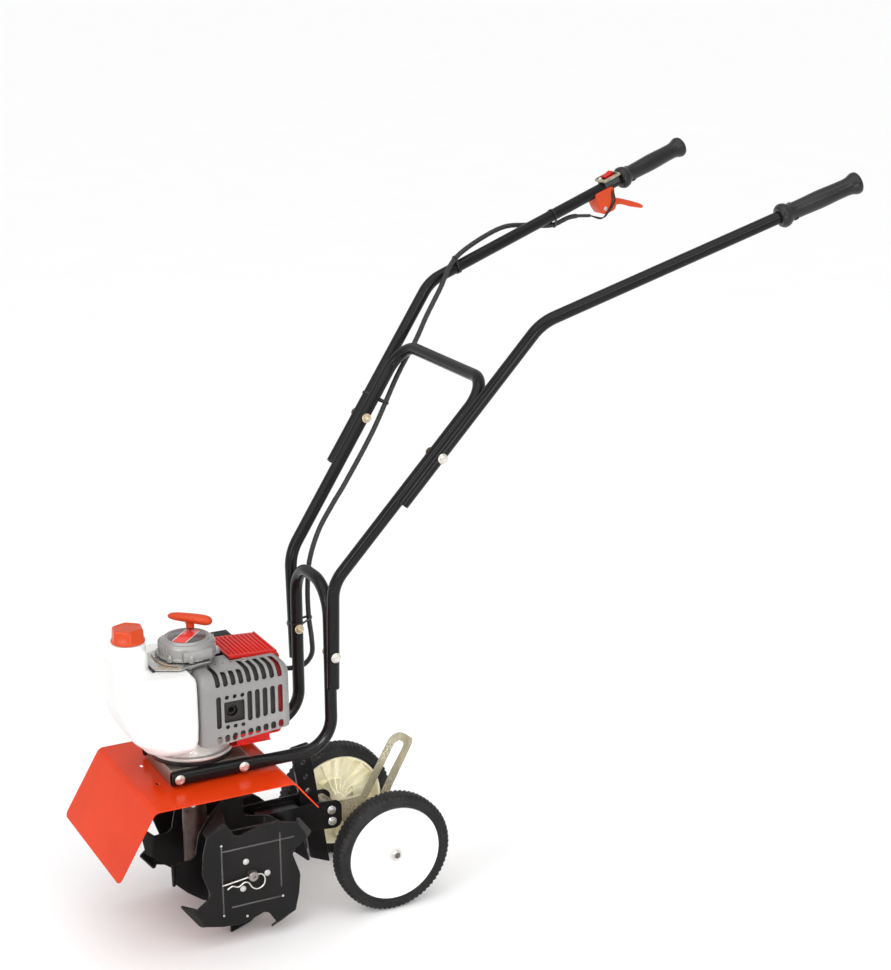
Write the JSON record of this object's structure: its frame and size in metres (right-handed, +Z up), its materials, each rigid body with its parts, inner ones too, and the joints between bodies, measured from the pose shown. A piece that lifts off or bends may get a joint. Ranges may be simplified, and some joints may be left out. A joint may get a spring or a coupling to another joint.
{
  "type": "rotary tiller",
  "caption": "Walk-behind petrol tiller with bolted tube handles, upright engine, worm-driven tines under a fender, depth bar and swing-up transport wheels.",
  "frame": {"origin": "centre of the bounding box's base, on the ground", "axes": "+Z up, -Y towards the tines (forwards), +X towards the machine's left side"},
  "size_m": [0.5468, 1.2384, 1.1646],
  "materials": {
    "black_powder_coat": "satin black powder coat",
    "zinc_plate": "zinc plated, slightly yellow",
    "machined_steel": "turned",
    "die_cast_aluminium": "as cast, sand-blasted",
    "brown_cast": "as cast, dark brown",
    "bronze": "machined bronze",
    "orange_enamel": "gloss orange enamel",
    "bare_steel": "plain rolled steel",
    "heat_dark_steel": "heat-darkened steel",
    "orange_plastic": "moulded",
    "red_plastic": "moulded",
    "grey_plastic": "silver-grey moulded",
    "dark_plastic": "dark grey moulded",
    "white_plastic": "natural white moulded",
    "nylon": "natural nylon",
    "black_rubber": "satin",
    "tyre_rubber": "ribbed tread"
  },
  "bodies": {
    "frame": {"base_frame": "black_powder_coat", "mid_hoop": "black_powder_coat", "left_handle": "black_powder_coat", "right_handle": "black_powder_coat", "left_grip": "black_rubber", "right_grip": "black_rubber", "lower_joint_bolt_left": "zinc_plate", "lower_joint_bolt_right": "zinc_plate", "upper_joint_bolt_left": "zinc_plate", "upper_joint_bolt_right": "zinc_plate", "rail_bolt_front": "zinc_plate", "rail_bolt_rear": "zinc_plate", "engine_bracket": "bare_steel", "fender": "orange_enamel", "mount_ring": "black_rubber", "clutch_housing": "die_cast_aluminium", "crankcase": "die_cast_aluminium", "cylinder": "die_cast_aluminium", "muffler": "heat_dark_steel", "muffler_cover": "grey_plastic", "cylinder_cover": "red_plastic", "fan_housing": "grey_plastic", "starter_housing": "grey_plastic", "fuel_tank": "white_plastic", "tank_bracket": "machined_steel", "carburettor": "die_cast_aluminium", "air_filter_cover": "dark_plastic", "gearbox_housing": "brown_cast", "hitch_bracket": "black_powder_coat", "wheel_pivot_bolt": "zinc_plate", "switch_bracket": "zinc_plate", "throttle_housing": "orange_plastic", "control_cable": "black_rubber"},
    "engine_shaft": {"flywheel": "die_cast_aluminium", "crankshaft": "machined_steel", "clutch_shoes": "die_cast_aluminium"},
    "drive": {"clutch_drum": "machined_steel", "drive_shaft": "machined_steel"},
    "tines": {"worm_wheel": "bronze", "tine_shaft": "machined_steel", "left_outer_tine": "black_powder_coat", "left_inner_tine": "black_powder_coat", "right_outer_tine": "black_powder_coat", "right_inner_tine": "black_powder_coat", "left_tine_hub": "black_powder_coat", "right_tine_hub": "black_powder_coat", "left_shaft_clip": "zinc_plate", "right_shaft_clip": "zinc_plate"},
    "starter_pull": {"starter_handle": "orange_plastic"},
    "starter_reel": {"starter_pulley": "nylon"},
    "cap": {"fuel_cap": "orange_plastic"},
    "rocker": {"kill_switch": "red_plastic"},
    "throttle": {"throttle_trigger": "orange_plastic"},
    "depth_bar": {"depth_bar": "black_powder_coat"},
    "wheel_carrier": {"wheel_bracket": "zinc_plate", "axle": "machined_steel"},
    "left_road_wheel": {"left_wheel": "white_plastic", "left_tyre": "tyre_rubber"},
    "right_road_wheel": {"right_wheel": "white_plastic", "right_tyre": "tyre_rubber"}
  },
  "joints": [
    {"name": "engine_spin", "type": "hinge", "parent": "frame", "child": "engine_shaft", "pos_m": [0, -0.446, 0.38], "axis": [0, 0, 1], "continuous": true},
    {"name": "drive_spin", "type": "hinge", "parent": "frame", "child": "drive", "pos_m": [0, -0.446, 0.2], "axis": [0, 0, 1], "continuous": true},
    {"name": "tine_spin", "type": "hinge", "parent": "frame", "child": "tines", "pos_m": [0, -0.398, 0.1173], "axis": [1, 0, 0], "continuous": true},
    {"name": "starter_slide", "type": "slide", "parent": "frame", "child": "starter_pull", "axis": [0, 0, 1], "range_m": [0, 0.5], "stiffness_N_per_m": 8, "springref_m": -0.02},
    {"name": "reel_spin", "type": "hinge", "parent": "frame", "child": "starter_reel", "pos_m": [0, -0.446, 0.467], "axis": [0, 0, 1], "continuous": true},
    {"name": "cap_turn", "type": "hinge", "parent": "frame", "child": "cap", "pos_m": [0, -0.541, 0.4925], "axis": [0, 0, 1], "range_deg": [0, 540]},
    {"name": "rocker_tilt", "type": "hinge", "parent": "frame", "child": "rocker", "pos_m": [-0.23558, 0.44942, 1.10714], "axis": [0.9928, 0.1201, 0], "range_deg": [0, 14]},
    {"name": "throttle_squeeze", "type": "hinge", "parent": "frame", "child": "throttle", "pos_m": [-0.23454, 0.44085, 1.06138], "axis": [0.9928, 0.1201, 0], "range_deg": [0, 14], "stiffness_Nm_per_rad": 0.3, "springref_deg": -17.19},
    {"name": "depth_slide", "type": "slide", "parent": "frame", "child": "depth_bar", "axis": [0, 0.1444, -0.9895], "range_m": [-0.05, 0.03]},
    {"name": "wheel_swing", "type": "hinge", "parent": "frame", "child": "wheel_carrier", "pos_m": [0, -0.2185, 0.148], "axis": [1, 0, 0], "range_deg": [0, 40]},
    {"name": "left_wheel_spin", "type": "hinge", "parent": "wheel_carrier", "child": "left_road_wheel", "pos_m": [0.11, -0.153, 0.1], "axis": [1, 0, 0], "continuous": true},
    {"name": "right_wheel_spin", "type": "hinge", "parent": "wheel_carrier", "child": "right_road_wheel", "pos_m": [-0.11, -0.153, 0.1], "axis": [1, 0, 0], "continuous": true}
  ],
  "couplings": [
    {"joint": "tine_spin", "follows": "drive_spin", "ratio": 0.033333},
    {"joint": "reel_spin", "follows": "starter_slide", "rad_per_m": 45.455}
  ]
}
